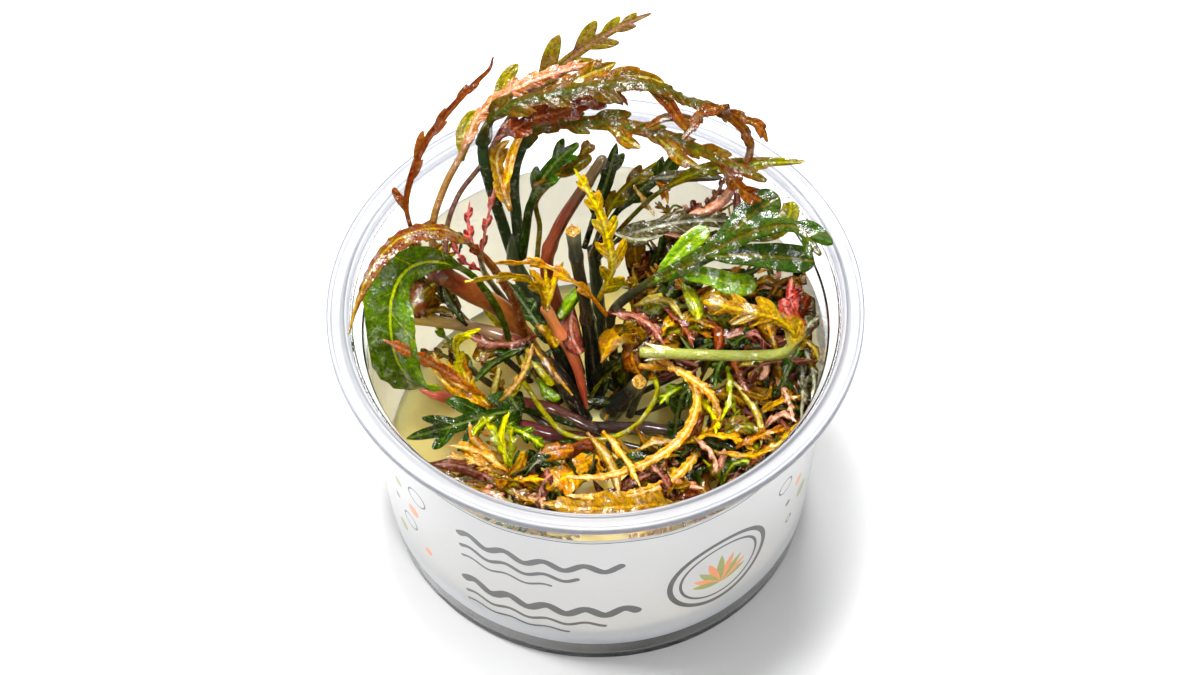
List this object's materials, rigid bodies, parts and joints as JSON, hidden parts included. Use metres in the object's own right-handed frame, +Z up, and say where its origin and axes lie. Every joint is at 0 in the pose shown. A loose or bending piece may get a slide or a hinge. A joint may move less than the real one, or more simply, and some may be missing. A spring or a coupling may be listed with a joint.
{
  "type": "aquarium plant clump in a tissue culture cup",
  "caption": "Clear round culture cup with a wrap label and pale gel, holding a dense clump of feather-lobed aquarium plant leaves in green, olive, gold and red-brown.",
  "frame": {"origin": "centre of the cup's flat base, on the surface that it stands on", "axes": "+Z up through the open mouth, +X to the viewer's right, +Y away from the viewer"},
  "size_m": [0.1, 0.1, 0.0911],
  "materials": {
    "clear_plastic": "gloss",
    "label_film": "satin",
    "culture_gel": "gloss",
    "black_green_stem": "satin",
    "red_brown_stem": "satin",
    "salmon_stem": "satin",
    "tan_stem": "satin",
    "green_leaf": "gloss",
    "dark_leaf": "gloss",
    "olive_leaf": "gloss",
    "brown_leaf": "gloss",
    "gold_leaf": "gloss",
    "orange_leaf": "satin",
    "red_leaf": "satin"
  },
  "bodies": {
    "root": {"cup": "clear_plastic", "label": "label_film", "gel": "culture_gel", "stem_tall": "black_green_stem", "stem_left": "red_brown_stem", "stem_centre": "black_green_stem", "stem_salmon": "salmon_stem", "stem_tan": "tan_stem", "stem_red": "red_brown_stem", "stem_maroon": "red_brown_stem", "stem_front": "black_green_stem", "stem_brown_back": "red_brown_stem", "stem_dark_back": "black_green_stem", "stem_cut_right": "black_green_stem", "stem_leafy_right": "black_green_stem", "stem_low_right": "red_brown_stem", "leaf_arch_back": "brown_leaf", "leaf_arch_front": "olive_leaf", "leaf_dark_fork": "dark_leaf", "leaf_maroon_spire": "brown_leaf", "leaf_pink_arch": "orange_leaf", "leaf_back_spire": "brown_leaf", "leaf_green_left": "green_leaf", "leaf_brown_left": "brown_leaf", "leaf_salmon_left": "gold_leaf", "leaf_orange_over": "orange_leaf", "leaf_golden": "gold_leaf", "leaf_yellow_hook": "gold_leaf", "leaf_pink_left": "orange_leaf", "leaf_green_low": "green_leaf", "leaf_green_cut": "green_leaf", "leaf_yellow_low": "gold_leaf", "leaf_lime_loop": "gold_leaf", "leaf_olive_curl": "olive_leaf", "leaf_dark_mid": "dark_leaf", "leaf_dark_right": "dark_leaf", "leaf_olive_mid": "olive_leaf", "leaf_right_tip": "olive_leaf", "leaf_grey_narrow": "olive_leaf", "leaf_big_right": "green_leaf", "leaf_yellow_right": "gold_leaf", "leaf_fuzzy_long": "orange_leaf", "leaf_fuzzy_short": "orange_leaf", "leaf_fuzzy_front": "orange_leaf", "leaf_orange_broad": "orange_leaf", "leaf_gold_front": "brown_leaf", "shoot_pink": "red_leaf", "shoot_amber": "orange_leaf", "shoot_orange": "orange_leaf", "shoot_dark_left": "brown_leaf", "shoot_back_right": "brown_leaf", "shoot_amber_mid": "orange_leaf", "shoot_centre_right": "olive_leaf", "shoot_far_right": "brown_leaf", "shoot_red": "red_leaf", "shoot_right_wall": "olive_leaf", "shoot_right_mid": "green_leaf", "shoot_front": "brown_leaf", "shoot_front_left": "green_leaf"}
  },
  "joints": []
}
